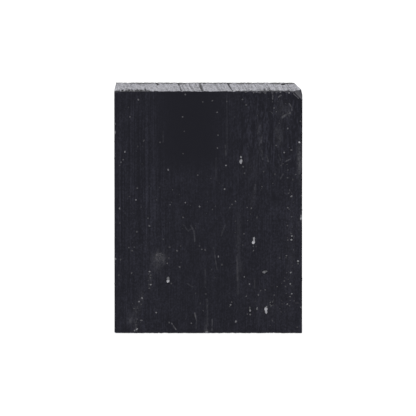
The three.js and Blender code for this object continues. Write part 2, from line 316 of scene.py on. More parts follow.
# Scoops knocked out of the edges: centre, radius, stretch along each axis, and how pale the break is.
# Those of no paleness are holes in the top, with painted shade in them.
KNOCKS = (
    ((RIGHT - 1.5, BACK + 0.5, TOP + 0.25), 0.95, (1, 1, 2.2), 0.6),
    ((LEFT + 0.5, BACK + 0.35, TOP + 0.3), 0.7, (1.8, 1, 1), 0.3),
    ((-12.8, BACK - 1.2, TOP + 0.12), 0.36, (0.9, 2.6, 1.1), 0.0),
    ((-12.55, BACK - 2.7, TOP + 0.12), 0.36, (0.9, 2.6, 1.1), 0.0),
    ((-12.3, BACK - 4.3, TOP + 0.14), 0.34, (0.9, 2.8, 1.1), 0.0),
    ((18.3, BACK - 3.3, TOP + 0.12), 0.52, (1.1, 2.4, 1.0), 0.0),
    ((9.2, FRONT - 0.25, TOP + 0.15), 0.52, (1.8, 1, 1), 0.6),
    ((11.0, FRONT - 0.2, TOP + 0.1), 0.55, (0.7, 1, 1.2), 0.8),
    ((12.4, FRONT - 0.2, TOP + 0.1), 0.58, (1.6, 1, 1.1), 0.6),
    ((13.8, FRONT - 0.2, TOP + 0.1), 0.55, (1.4, 1, 1.1), 0.6),
    ((15.6, FRONT - 0.2, TOP + 0.1), 0.52, (0.8, 1, 1.8), 0.8),
    ((16.7, FRONT - 0.2, TOP + 0.0), 0.5, (1.2, 1, 1.2), 0.6),
    ((17.5, FRONT - 0.2, TOP + 0.1), 0.52, (0.7, 1, 1.4), 0.9),
    ((19.1, FRONT - 0.25, TOP + 0.1), 0.6, (1.4, 1, 1.1), 0.6),
    ((-21.6, FRONT - 0.2, TOP + 0.1), 0.5, (1.6, 1, 1.1), 0.5),
    ((7.6, FRONT - 0.25, TOP + 0.1), 0.5, (1.0, 1, 1.0), 0.5),
    ((RIGHT + 0.25, FRONT - 0.25, 28.7), 0.62, (1, 1, 1.7), 1.0),
    ((RIGHT + 0.35, FRONT - 0.3, 43.2), 0.6, (1, 1, 7), 0.6),
    ((RIGHT + 0.3, FRONT - 0.3, 34.2), 0.5, (1, 1, 1.2), 0.8),
    ((RIGHT + 0.3, FRONT - 0.3, 31.2), 0.45, (1, 1, 1.5), 0.5),
    ((RIGHT + 0.3, FRONT - 0.3, 6.5), 0.5, (1, 1, 1), 0.8),
    ((LEFT - 0.35, FRONT - 0.3, 49.8), 0.62, (1, 1, 1.6), 1.0),
    ((LEFT - 0.35, FRONT - 0.3, 51.9), 0.5, (1, 1, 1), 0.7),
    ((LEFT - 0.3, FRONT - 0.3, 18.45), 0.6, (1, 1, 1), 1.0),
    ((LEFT - 0.3, BACK + 0.3, 21.5), 0.7, (1, 1, 2.4), 0.6),
    ((RIGHT + 0.3, BACK + 0.25, 12.4), 0.7, (1, 1, 1.8), 0.6),
    ((LEFT + 0.1, FRONT - 0.3, BASE - 0.25), 0.7, (1, 1, 1), 0.3),
    ((-0.4, FRONT - 0.3, BASE - 0.15), 0.6, (1.2, 1, 1), 1.0),
    ((3.4, FRONT - 0.3, BASE - 0.2), 0.5, (1.2, 1, 1), 0.5),
    ((9.7, BACK + 0.3, BASE - 0.3), 0.8, (2.2, 1, 1), 0.5),
)
KNOCK_ROUGHNESS = 0.14

# Tears that the saw left in the front edge of the top: where each starts, its width, length and depth.
TEARS = (
    (-21.6, 0.5, 1.8, 0.2), (-20.8, 0.62, 5.6, 0.26), (-20.0, 0.5, 2.6, 0.22), (-19.2, 0.45, 3.6, 0.2),
    (-18.4, 0.6, 5.0, 0.24), (-17.6, 0.45, 2.8, 0.22), (-17.1, 0.5, 4.6, 0.22), (-16.2, 0.5, 3.4, 0.22),
    (-15.1, 0.62, 5.8, 0.26), (-14.6, 0.4, 2.2, 0.2), (-9.6, 0.4, 1.2, 0.14), (2.6, 0.45, 1.4, 0.14),
    (9.6, 0.4, 2.0, 0.18), (11.6, 0.45, 1.6, 0.18), (13.9, 0.55, 5.6, 0.24), (15.1, 0.45, 3.4, 0.2),
    (17.2, 0.4, 2.2, 0.18), (19.6, 0.45, 2.6, 0.18),
)

# Pits in the broad faces: centre, width, height and lean of each mouth.
PIT_DEPTH = 0.28
FRONT_PITS = (
    (8.0, 42.9, 1.0, 2.1, 0.0), (11.1, 23.1, 1.0, 2.1, -0.15), (13.85, 15.35, 1.7, 1.0, 0.0),
    (-9.85, 13.3, 1.1, 1.8, 0.0), (14.15, 5.8, 1.1, 2.3, 0.0), (10.2, 5.6, 0.7, 2.2, 0.0),
    (15.5, 7.45, 1.2, 1.2, 0.0), (20.35, 23.7, 0.8, 1.6, 0.0), (22.0, 17.6, 0.8, 1.4, 0.0),
)
BACK_PITS = (
    (-14.6, 44.1, 0.9, 1.9, 0.2), (6.2, 31.5, 1.2, 1.1, 0.0), (12.8, 12.4, 0.9, 1.7, -0.3),
    (-5.4, 8.9, 1.5, 1.0, 0.1),
)


def face_masks(normals):
    """How far each point belongs to the narrow sides, the broad faces and the sawn ends."""
    return smooth(0.6, 0.9, np.abs(normals)).T


def ridges(points, table):
    """Depth between the fine ridges of a table of spacing, depth and seed."""
    total = np.zeros(len(points))
    for size, depth, seed in table:
        total += depth * (1 + noise(points, size, seed))
    return total


def line_depth(across, along, centres, width, depth, seed):
    """Depth of straight grooves at the given places across a face, fading in and out along their length."""
    total = np.zeros(len(across))
    for number, centre in enumerate(centres):
        near = np.abs(across - centre) < 4 * width
        here = np.stack([along[near], np.full(near.sum(), centre), np.zeros(near.sum())], axis=1)
        strength = 1 - LINE_FADE + LINE_FADE * fractal(here, (9.0, 1.0, 1.0), seed + number, 2)
        wander = LINE_WANDER * noise(here, (14.0, 1.0, 1.0), seed + 50 + number)
        total[near] += depth * strength * np.exp(-((across[near] - centre - wander) / width) ** 2)
    return total


# Smudges of pale dust on the front: centre (x, z), half-width, half-height, strength.
SMUDGES = (
    (-12.0, 18.8, 1.45, 1.0, 0.8), (-12.5, 19.45, 0.45, 0.35, 1.5), (-11.7, 19.75, 0.75, 0.25, 1.2),
    (-11.2, 18.4, 0.9, 0.9, 0.7), (-12.9, 17.0, 1.1, 1.4, 0.35), (-14.2, 13.4, 0.5, 2.2, 0.22),
    (-16.4, 8.8, 0.6, 1.3, 0.32), (-17.3, 6.0, 0.7, 2.0, 0.22), (-18.8, 3.3, 0.8, 0.8, 0.7),
    (-17.6, 1.4, 0.8, 0.7, 0.6), (-17.9, 4.6, 0.6, 0.8, 0.5), (-15.0, 21.25, 0.5, 0.5, 0.35),
    (18.6, 54.05, 0.9, 0.35, 1.1), (19.3, 54.6, 0.6, 0.4, 0.8), (18.2, 55.5, 1.7, 1.5, 0.28),
    (22.25, 42.8, 0.5, 3.7, 0.85), (22.8, 28.7, 0.35, 1.0, 1.0), (22.0, 26.8, 0.3, 1.3, 0.3),
    (17.45, 41.85, 0.55, 0.5, 0.5), (17.5, 47.4, 0.4, 0.7, 0.55), (16.45, 50.4, 0.4, 0.7, 0.5),
    (17.3, 49.2, 0.9, 2.4, 0.28), (12.2, 50.8, 0.5, 1.4, 0.18), (10.5, 32.7, 0.6, 0.8, 0.25),
    (11.2, 34.3, 0.4, 1.0, 0.2), (11.9, 27.4, 0.4, 0.7, 0.2), (7.5, 25.0, 0.6, 4.0, 0.15),
    (7.9, 16.5, 0.5, 1.3, 0.22), (14.5, 6.8, 4.0, 2.6, 0.08), (20.2, 20.0, 1.2, 13.0, 0.08),
    (-0.4, 0.4, 0.5, 0.35, 0.9), (-0.5, 2.7, 0.5, 0.5, 0.25), (12.6, 46.5, 0.5, 3.0, 0.14),
    (10.8, 41.0, 2.4, 3.0, 0.08),
)
# Places on the front that are darker than the rest, in the same terms. The first two are painted shade
# inside two shallow dents.
DARK_SPOTS_AND_DENT_SHADE = (
    (5.7, 17.9, 1.1, 0.4, 0.85), (-16.05, 24.55, 0.6, 0.22, 0.9), (15.4, 51.5, 0.5, 6.0, 0.8),
    (18.45, 48.5, 0.35, 2.6, 0.85), (21.4, 41.5, 0.22, 3.6, 0.8), (2.9, 23.0, 0.9, 1.8, 0.4),
    (-2.9, 26.5, 0.7, 3.0, 0.35), (0.3, 15.5, 0.5, 2.0, 0.5), (2.3, 9.5, 1.1, 3.0, 0.4),
    (11.2, 25.1, 0.6, 0.6, 0.8), (-19.4, 27.5, 0.25, 3.0, 0.4), (-6.5, 9.0, 1.6, 3.0, 0.3),
    (20.9, 52.5, 0.6, 4.0, 0.6), (12.0, 58.3, 2.2, 1.5, 0.55), (9.4, 45.5, 0.4, 1.6, 0.3),
    (14.9, 57.5, 0.5, 2.0, 0.7), (16.9, 57.3, 1.2, 0.8, 0.5), (21.6, 57.4, 0.5, 1.2, 0.5),
    (10.6, 54.6, 0.7, 2.2, 0.45), (13.4, 55.2, 0.5, 2.6, 0.4), (-11.9, 20.6, 1.6, 0.3, 0.5),
    (-13.9, 18.0, 0.4, 0.9, 0.4), (-15.0, 4.3, 2.4, 0.6, 0.4), (-20.0, 14.0, 0.9, 1.6, 0.4),
)
# How much darker than the palest charcoal the calm zone, the upper part and the middle are.
CALM_DARKNESS = 0.94
UPPER_DARKNESS = 0.2
MIDDLE_DARKNESS = 0.22
CALM_SMOOTHNESS = 0.9  # the share of the striations' depth that the calm zone lacks


def spots(points, table):
    """The strongest of the table's soft spots at each point of the front."""
    total = np.zeros(len(points))
    front = smooth(FRONT + 1.5, FRONT + 0.8, points[:, 1])
    for x, z, width, height, strength in table:
        ratio = ((points[:, 0] - x) / width) ** 2 + ((points[:, 2] - z) / height) ** 2
        total = np.maximum(total, strength * np.exp(-ratio))
    return total * front


def calm_zone(points):
    """1 in the smooth, dark upper middle of the front."""
    x, y, z = points.T
    return band(x, -4.5, 9.0) * smooth(37, 45, z) * (y < FRONT + 1)


def darkness_and_shade(points):
    """How much darker than the palest charcoal each point is kept, with painted shade in two shallow dents
    among the spots.
    """
    x, _, z = points.T
    calm = CALM_DARKNESS * calm_zone(points)
    upper = UPPER_DARKNESS * smooth(30, 46, z)
    middle = MIDDLE_DARKNESS * band(x, -1.0, 9.5)
    patches = spots(points, DARK_SPOTS_AND_DENT_SHADE) * (0.8 + 0.3 * fractal(points, (0.5, 0.5, 0.9), 35, 2))
    return np.clip(np.maximum.reduce([calm, upper, middle, patches]), 0, 1)


def striped_zone(points):
    """How clearly each point shows the die's separate vertical lines: most of all at the upper left."""
    x, _, z = points.T
    left = band(x, -17.5, 6.5) * smooth(14, 34, z)
    right = 0.35 * band(x, 11.5, 7.5) * smooth(28, 42, z)
    return 0.15 + 0.85 * np.clip(left + right, 0, 1)


def striation_depth(points):
    """Depth of the die's striations, weaker in the calm zone."""
    total = ridges(points, STRIATIONS)
    grooves = peaks(noise(points, (0.5, 0.5, 45.0), 31), 0.45)
    total += GROOVE_DEPTH * grooves * (1 + noise(points, (3.0, 3.0, 14.0), 32))
    return total * (1 - CALM_SMOOTHNESS * calm_zone(points))


def saw_frame(points):
    """Coordinates across and along the saw's marks, and up."""
    across = points[:, 0] * math.cos(SAW_ANGLE) + points[:, 1] * math.sin(SAW_ANGLE)
    along = points[:, 1] * math.cos(SAW_ANGLE) - points[:, 0] * math.sin(SAW_ANGLE)
    return np.stack([across, along, points[:, 2]], axis=1)


def saw_marks(points):
    """Depth of the saw's separate marks, which fade out just short of the edges."""
    marks = np.zeros(len(points))
    x, y, z = points.T
    for upper, table in ((True, TOP_SAW_MARKS), (False, BASE_SAW_MARKS)):
        here = (z > TOP / 2) == upper
        for number, (centre, lean, width, depth) in enumerate(table):
            across = x[here] + y[here] * math.tan(math.radians(lean))
            marks[here] += line_depth(across, y[here], (centre,), width, depth, 60 + number)
    return marks * smooth(0.0, 0.6, np.minimum(y - FRONT, BACK - y))


def tear_depth(points):
    """Depth of the tears, which taper back from the front edge of the top with ragged sides."""
    total = np.zeros(len(points))
    here = (points[:, 2] > TOP - 1.0) & (points[:, 1] < FRONT + 6.5)
    x, y, _ = points[here].T
    ragged = 1 + 0.3 * fractal(points[here], (0.5, 1.2, 0.5), 95, 2)
    for start, width, length, depth in TEARS:
        across = x - start + (y - FRONT) * math.tan(SAW_ANGLE)
        ratio = np.hypot(2 * across / width, (y - FRONT) / length) * ragged
        total[here] = np.maximum(total[here], depth * smooth(1.0, 0.5, ratio))
    return total


def furrow_shade_mask(points):
    """1 in the bottom of the deepest marks, pits and notches of the ends, which the colour darkens almost to
    black as painted shade, and in dark ragged bands along their front and back edges.
    """
    x, y, _ = points.T
    # Dark, ragged borders along the front and back edges, and how far in each of them reaches.
    left = 4.0 * band(x, -18.6, 4.0)
    middle = 0.6 * smooth(-8.0, -5.0, x)
    right = 1.2 * smooth(9.0, 12.0, x)
    front_reach = 0.6 + left + middle + right
    back_reach = 3.8
    front_rags = fractal(points, (0.8, 2.6, 0.8), 88, 3) + 1.6 * (0.55 - (y - FRONT) / front_reach)
    back_rags = fractal(points, (0.9, 1.6, 0.9), 89, 3) + 1.8 * (0.6 - (BACK - y) / back_reach)
    front_line = smooth(-0.2, 0.5, front_rags)
    back_line = smooth(-0.3, 0.4, back_rags)
    marks = smooth(0.03, 0.16, saw_marks(points))
    torn = smooth(0.02, 0.1, tear_depth(points))
    holes = np.zeros(len(points))
    for centre, radius, stretch, pale in KNOCKS:
        if pale == 0.0:
            ratio = (points - np.array(centre)) / (np.array(stretch, dtype=float) * radius * 1.15)
            holes = np.maximum(holes, smooth(1.15, 0.75, np.linalg.norm(ratio[:, :2], axis=1)))
    strongest = np.maximum.reduce([0.95 * marks, 0.85 * front_line, 0.95 * back_line, holes, 0.9 * torn])
    return end_zone(points, 0.7, 0.35) * np.clip(strongest, 0, 1)


def scored_zone(points):
    """How strongly the saw scored each part of the ends."""
    across = saw_frame(points)[:, 0]
    left = smooth(-6.9, -6.3, across) * smooth(-1.4, -1.9, across)
    right = smooth(4.4, 5.2, across) * (1 - 0.5 * smooth(16.0, 19.0, across))
    return 0.35 + 0.65 * np.clip(left + right, 0, 1)


def saw_depth(points):
    """Depth of the saw's marks and of the crumbly surface between them."""
    total = ridges(saw_frame(points), SAW_RIDGES)
    total += SAWN_UNEVENNESS * (1 + fractal(points, (0.6, 0.6, 0.6), 44, 2))
    total += SAWN_PORE_DEPTH * peaks(noise(points, (0.55, 0.9, 0.55), 46), 0.5)
    return total + saw_marks(points) + tear_depth(points)


def pit_depth(points, pits, seed):
    """Depth of the pits in a broad face, with ragged mouths."""
    total = np.zeros(len(points))
    ragged = 1 + 0.22 * fractal(points, (0.5, 0.5, 0.5), seed, 2)
    for x, z, width, height, lean in pits:
        across = (points[:, 0] - x) * math.cos(lean) + (points[:, 2] - z) * math.sin(lean)
        along = (points[:, 2] - z) * math.cos(lean) - (points[:, 0] - x) * math.sin(lean)
        ratio = np.sqrt((2 * across / width) ** 2 + (2 * along / height) ** 2) * ragged
        total = np.maximum(total, PIT_DEPTH * np.sqrt(np.clip(1 - ratio**2, 0, 1)))
    return total


def face_relief(points, normals):
    """Depth below the box of each point: everything that is too shallow to need cutting."""
    sides, broad, ends = face_masks(normals)
    pressed = 1 - ends
    x, y, z = points.T
    depth = pressed * striation_depth(points)
    faces = (
        (broad * (y < 0), x, FRONT_DIE_LINES, 100), (broad * (y > 0), x, BACK_DIE_LINES, 120),
        (sides * (x < 0), y, SIDE_DIE_LINES, 140), (sides * (x > 0), -y, SIDE_DIE_LINES, 150),
    )
    for mask, across, lines, seed in faces:
        depth += mask * line_depth(across, z, lines, DIE_LINE_WIDTH, DIE_LINE_DEPTH, seed)
    depth += pressed * PRESSED_PORE_DEPTH * peaks(noise(points, (0.4, 0.4, 0.7), 33), 0.62)
    depth += pressed * PRESSED_UNEVENNESS * (1 + fractal(points, (4.0, 4.0, 7.0), 34, 2))
    depth += ends * saw_depth(points)
    depth += broad * (y < 0) * pit_depth(points, FRONT_PITS, 71)
    depth += broad * (y > 0) * pit_depth(points, BACK_PITS, 72)
    return depth


def edge_crumble(points):
    """Depth lost where the edges have crumbled: mostly a little, in places a few tenths of a millimetre."""
    x, y, z = points.T
    near = edge_nearness(points, 0.55)
    near *= 1 - 0.6 * smooth(TOP - 1.0, TOP, z) * smooth(BACK - 1.0, BACK, y)
    near *= 1 - 0.85 * smooth(BASE + 1.0, BASE, z)
    near *= 1 - 0.35 * smooth(LEFT + 1.0, LEFT, x)
    nibbles = peaks(fractal(points, (0.7, 0.7, 0.7), 81, 3), 0.25)
    chips = peaks(noise(points, (1.9, 1.9, 1.9), 85), 0.55)
    return near * (0.10 * nibbles + 0.8 * chips)


def cut_by_plane(points, normal, offset, rough):
    """Presses points that are beyond a plane down onto it."""
    beyond = points @ normal - offset + rough
    moved = np.clip(beyond, 0, None)
    return points - moved[:, None] * normal, moved > 0


def cut_by_ball(points, centre, radius, stretch, rough):
    """Pushes points that are inside a stretched ball out to its surface."""
    scaled = (points - centre) / stretch
    distance = np.linalg.norm(scaled, axis=1)
    reach = radius + rough
    inside = distance < reach
    factor = np.where(inside, reach / np.maximum(distance, 1e-6), 1.0)
    return centre + scaled * factor[:, None] * stretch, inside


def cut_side(points, corner, outward, reach, rough):
    """Cuts a corner off by the plane that meets its three edges at the given reaches."""
    normal = unit(outward / reach)
    offset = (corner - np.array([outward[0] * reach[0], 0, 0])) @ normal
    return cut_by_plane(points, normal, offset, rough)


def cut_flakes(points):
    """Cuts the flake scars and knocks, and says which points lie on a fresh break."""
    broken = np.zeros(len(points))

    # The side flake: a nearly flat break with faint ripples that spread from the back top corner.
    corner = np.array([RIGHT, BACK, TOP])
    spread = np.linalg.norm(points - corner, axis=1)
    ripple = 0.045 * np.sin(spread * 2.6 + 1.5 * noise(points, (4, 4, 4), 91))
    ripple += 0.06 * fractal(points, (2.0, 2.0, 2.0), 92, 4)
    points, hit = cut_side(points, corner, np.array([1.0, 1.0, 1.0]), np.array(SIDE_FLAKE), ripple - 0.04)
    broken[hit] = SIDE_FLAKE_PALENESS

    # The worn left side.
    corner = np.array([LEFT, BACK, TOP])
    rough = 0.03 * fractal(points, (2.0, 2.0, 2.0), 94, 2)
    points, _ = cut_side(points, corner, np.array([-1.0, 1.0, 1.0]), np.array(SIDE_WEAR), rough)

    # The corner flake.
    corner = np.array([RIGHT, FRONT, TOP])
    outward = np.array([1.0, -1.0, 1.0])
    for extra, radius, hollow in CORNER_SCARS:
        reach = np.array(CORNER_FLAKE) + np.array([extra, 0, extra])
        centre = corner - reach * outward / 3 + unit(outward / reach) * (radius - hollow)
        spread = np.linalg.norm(points - corner, axis=1)
        rough = 0.02 * np.sin(spread * 7.0) + 0.03 * fractal(points, (0.9, 0.9, 0.9), 93, 3)
        points, hit = cut_by_ball(points, centre, radius, np.ones(3), rough)
        broken[hit] = 1.0

    for number, (centre, radius, stretch, pale) in enumerate(KNOCKS):
        centre = np.array(centre)
        stretch = np.array(stretch, dtype=float)
        near = np.all(np.abs(points - centre) < stretch * radius * 1.5, axis=1)
        local = points[near]
        rough = KNOCK_ROUGHNESS * radius * fractal(local, (0.6, 0.6, 0.6), 200 + number, 2)
        points[near], hit = cut_by_ball(local, centre, radius, stretch, rough)
        broken[near] = np.maximum(broken[near], pale * hit)
    return points, broken


def make_block():
    points, quads = box_grid()
    points, normals = round_edges(points)
    depth = face_relief(points, normals) + edge_crumble(points)
    points = points - normals * depth[:, None]
    points, broken = cut_flakes(points)
    mesh = bpy.data.meshes.new("charcoal_surface")
    mesh.from_pydata((points * MM).tolist(), [], quads.tolist())
    masks = {
        "fresh_break": broken, "smudge": spots(points, SMUDGES), "darkness_and_shade": darkness_and_shade(points),
        "striped": striped_zone(points), "scored": scored_zone(points), "furrow_shade": furrow_shade_mask(points),
    }
    for name, values in masks.items():
        write_attribute(mesh, name, values)
    mesh.shade_smooth()
    block = link(bpy.data.objects.new("charcoal_surface", mesh))
    reduce_triangles(block)
    return block


def write_attribute(mesh, name, values):
    """Stores a number for each point of the mesh, for its material to read."""
    attribute = mesh.attributes.new(name, "FLOAT", "POINT")
    attribute.data.foreach_set("value", np.asarray(values, dtype=np.float32))


def reduce_triangles(obj):
    """Collapses the grid to the triangles that its shape needs."""
    modifier = obj.modifiers.new("reduce", "DECIMATE")
    modifier.ratio = FINAL_TRIANGLES / (2 * len(obj.data.polygons))
    modifier.use_collapse_triangulate = True
    bpy.context.view_layer.objects.active = obj
    bpy.ops.object.modifier_apply(modifier=modifier.name)


# ---------------------------------------------------------------- materials

# Colours, as a grey level and how much more blue than red or green there is.
COLOURS = {
    "charcoal_dark": (0.005, 1.92), "charcoal_pale": (0.029, 1.48), "dust": (0.085, 1.12),
    "break_dark": (0.034, 1.25), "break_pale": (0.068, 1.16),
    # The darkest grey of the ends is painted shade in their marks, tears and holes.
    # The pale grey of the sawn ends is partly dust and partly painted sheen, standing in for their bright
    # grazing reflection.
    "sawn_dark": (0.05, 1.25), "sawn_dust_and_sheen": (0.385, 1.13), "furrow_shade": (0.008, 1.4),
    "grain_dark": (0.007, 1.5), "grain_pale": (0.62, 1.07),
}
# Noise textures: size of the lumps, detail and roughness.
TEXTURES = {
    "lines": ((0.3, 0.3, 60.0), 1.0, 0.5), "wide": ((0.8, 0.8, 40.0), 3.0, 0.6),
    "fine": ((0.24, 0.24, 8.0), 2.0, 0.6), "mottle": ((2.6, 2.6, 4.0), 5.0, 0.7),
    "grain": ((0.42, 0.42, 0.5), 3.0, 0.75), "dashes": ((0.38, 0.38, 1.5), 3.0, 0.65),
    "speckle": ((0.35, 0.35, 0.5), 4.0, 0.75), "stroke_gaps": ((0.4, 0.4, 0.8), 3.0, 0.7),
    "break_grain": ((0.4, 0.4, 0.4), 4.0, 0.7), "kerf": ((0.5, 26.0, 1.0), 3.0, 0.65),
    "patches": ((1.6, 2.4, 1.6), 4.0, 0.65), "crumbs": ((0.4, 1.6, 0.4), 3.0, 0.75),
    "cloud": ((0.35, 0.35, 0.35), 4.0, 0.7),
}


class Graph:
    """A short way to build a material's nodes."""

    def __init__(self, name):
        self.material = bpy.data.materials.new(name)
        self.material.use_nodes = True
        self.tree = self.material.node_tree
        self.shader = self.tree.nodes["Principled BSDF"]

    def feed(self, socket, value):
        if isinstance(value, bpy.types.NodeSocket):
            self.tree.links.new(value, socket)
        else:
            socket.default_value = value

    def set(self, name, value):
        """Feeds one of the shader's sockets."""
        self.feed(self.shader.inputs[name], value)

    def math(self, operation, first, second=0.0, third=0.0):
        node = self.tree.nodes.new("ShaderNodeMath")
        node.operation = operation
        for socket, value in zip(node.inputs, (first, second, third)):
            self.feed(socket, value)
        return node.outputs[0]

    def product(self, first, second):
        return self.math("MULTIPLY", first, second)

    def centred(self, value):
        """Noise moved to lie round 0."""
        return self.math("SUBTRACT", value, 0.5)

    def vector(self, operation, first, second=(0.0, 0.0, 0.0)):
        node = self.tree.nodes.new("ShaderNodeVectorMath")
        node.operation = operation
        self.feed(node.inputs[0], first)
        if operation == "SCALE":
            self.feed(node.inputs["Scale"], second)
        else:
            self.feed(node.inputs[1], second)
        name = "Value" if operation in {"DOT_PRODUCT", "LENGTH"} else "Vector"
        return node.outputs[name]

    def step(self, value, low, high, start=0.0, end=1.0):
        """A smooth step from start to end as value goes from low to high."""
        node = self.tree.nodes.new("ShaderNodeMapRange")
        node.interpolation_type = "SMOOTHSTEP"
        for socket, number in zip(node.inputs, (value, low, high, start, end)):
            self.feed(socket, number)
        return node.outputs[0]

    def noise(self, place, name):
        """The named texture, from about 0 to 1."""
        size, detail, roughness = TEXTURES[name]
        node = self.tree.nodes.new("ShaderNodeTexNoise")
        node.inputs["Scale"].default_value = 1.0
        node.inputs["Detail"].default_value = detail
        node.inputs["Roughness"].default_value = roughness
        node.inputs["Distortion"].default_value = 0.0
        self.feed(node.inputs["Vector"], self.vector("DIVIDE", place, size))
        return node.outputs[0]

    def attribute(self, name):
        node = self.tree.nodes.new("ShaderNodeAttribute")
        node.attribute_name = name
        return node.outputs["Fac"]

    def mix(self, amount, first, second):
        """A mix of two colours, each a socket or the name of a colour."""
        node = self.tree.nodes.new("ShaderNodeMix")
        node.data_type = "RGBA"
        self.feed(node.inputs["Factor"], amount)
        for name, colour in (("A", first), ("B", second)):
            self.feed(node.inputs[name], rgba(colour) if isinstance(colour, str) else colour)
        return node.outputs["Result"]

    def weighted(self, *terms):
        """The sum of sockets, each times its weight."""
        total = 0.0
        for socket, weight in terms:
            total = self.math("MULTIPLY_ADD", socket, weight, total)
        return total

    def place(self):
        """The position on the object, in millimetres."""
        node = self.tree.nodes.new("ShaderNodeTexCoord")
        return self.vector("SCALE", node.outputs["Object"], 1 / MM)

    def split(self, vector):
        node = self.tree.nodes.new("ShaderNodeSeparateXYZ")
        self.feed(node.inputs[0], vector)
        return node.outputs

    def join(self, x=0.0, y=0.0, z=0.0):
        node = self.tree.nodes.new("ShaderNodeCombineXYZ")
        for socket, value in zip(node.inputs, (x, y, z)):
            self.feed(socket, value)
        return node.outputs[0]

    def bump(self, height, distance, strength):
        node = self.tree.nodes.new("ShaderNodeBump")
        node.inputs["Strength"].default_value = strength
        node.inputs["Distance"].default_value = distance * MM
        self.feed(node.inputs["Height"], height)
        self.set("Normal", node.outputs[0])


def rgba(name):
    level, blue = COLOURS[name]
    return (level, level, level * blue, 1.0)


# Scratches and dusty strokes on the front: start and end (x, z), half-width, strength.
STROKES = (
    ((1.25, 21.3), (1.55, 19.9), 0.2, 0.25), ((1.55, 19.9), (1.75, 18.3), 0.16, 0.45),
    ((1.75, 18.3), (2.15, 15.8), 0.17, 0.4), ((-8.95, 2.55), (-7.9, 1.0), 0.19, 1.0),
    ((-3.3, 5.05), (-3.1, 4.2), 0.24, 1.0), ((-3.1, 4.2), (-2.9, 3.3), 0.2, 0.7),
    ((-2.9, 3.3), (-3.0, 1.3), 0.22, 0.25), ((0.95, 3.5), (0.9, 0.8), 0.22, 0.5),
    ((-0.75, 16.0), (-0.7, 11.5), 0.24, 0.2), ((-0.3, 8.5), (-0.2, 1.8), 0.32, 0.22),
    ((-6.15, 27.1), (-5.0, 25.5), 0.24, 0.22), ((-4.9, 25.4), (-4.25, 25.9), 0.24, 0.22),
    ((-4.25, 26.75), (-3.45, 25.3), 0.3, 0.32), ((-3.45, 25.3), (-3.3, 22.9), 0.28, 0.32),
    ((3.15, 24.3), (4.1, 26.9), 0.28, 0.2), ((7.1, 17.0), (7.1, 13.3), 0.34, 0.35),
    ((7.4, 28.0), (7.3, 10.0), 0.5, 0.13), ((11.35, 13.6), (11.3, 11.3), 0.26, 0.2),
    ((17.2, 44.3), (17.65, 42.9), 0.2, 0.42), ((18.85, 42.6), (19.9, 43.15), 0.2, 0.85),
    ((15.74, 59.8), (15.7, 58.0), 0.22, 0.9), ((17.1, 58.5), (17.75, 58.95), 0.24, 1.0),
    ((17.55, 38.3), (18.25, 39.5), 0.24, 0.35), ((19.75, 56.9), (20.3, 55.95), 0.2, 1.0),
    ((20.3, 55.95), (20.4, 55.2), 0.2, 0.7), ((20.8, 59.3), (22.0, 58.2), 0.17, 1.0),
    ((17.9, 53.4), (18.8, 54.0), 0.4, 0.8), ((18.8, 54.0), (19.6, 54.5), 0.25, 0.6),
    ((13.0, 48.6), (12.85, 47.2), 0.3, 0.42), ((14.3, 44.0), (14.6, 42.6), 0.3, 0.4),
    ((21.4, 7.6), (22.1, 7.6), 0.18, 0.3), ((-19.6, 2.7), (-18.4, 3.4), 0.34, 0.25),
    ((-15.85, 10.1), (-16.25, 9.2), 0.16, 0.3), ((-11.05, 50.0), (-11.0, 47.3), 0.2, 0.2),
    ((4.5, 59.0), (4.6, 45.0), 0.24, 0.1), ((1.9, 43.5), (1.9, 38.0), 0.22, 0.14),
    ((12.7, 51.4), (12.1, 49.6), 0.32, 0.36), ((13.0, 45.3), (13.3, 43.2), 0.34, 0.32),
    ((11.45, 36.8), (11.3, 34.8), 0.36, 0.3), ((4.2, 46.5), (4.25, 44.0), 0.3, 0.25),
    ((6.9, 19.0), (7.3, 15.5), 0.3, 0.3), ((-5.0, 12.4), (-3.9, 11.6), 0.3, 0.25),
)
# Painted shadows on the rims of two shallow dents and of the chipped corner, in the same terms.
DENT_RIM_SHADE = (
    ((4.4, 17.8), (5.0, 17.35), 0.22, 0.9), ((5.0, 17.35), (5.9, 17.2), 0.22, 0.9),
    ((5.9, 17.2), (6.9, 17.65), 0.22, 0.9), ((-16.65, 24.8), (-16.05, 24.45), 0.18, 1.0),
    ((-16.05, 24.45), (-15.5, 24.75), 0.18, 1.0), ((21.1, 59.3), (22.0, 58.65), 0.14, 1.0),
)
STROKE_CORE = 0.3  # the share of a stroke's half-width that has its full strength


def stroke_mask(graph, place, strokes):
    """How strongly each point of the front is marked by the strokes."""
    x, _, z = graph.split(place)
    flat = graph.join(x=x, z=z)
    total = 0.0
    for start, end, width, strength in strokes:
        start = Vector((start[0], 0, start[1]))
        along = Vector((end[0], 0, end[1])) - start
        offset = graph.vector("SUBTRACT", flat, start)
        share = graph.math("DIVIDE", graph.vector("DOT_PRODUCT", offset, along), along.length_squared)
        share = graph.math("MINIMUM", graph.math("MAXIMUM", share, 0.0), 1.0)
        nearest = graph.vector("SCALE", along, share)
        distance = graph.vector("LENGTH", graph.vector("SUBTRACT", offset, nearest))
        mark = graph.step(distance, STROKE_CORE * width, width, strength, 0.0)
        total = graph.math("MAXIMUM", total, mark)
    return total


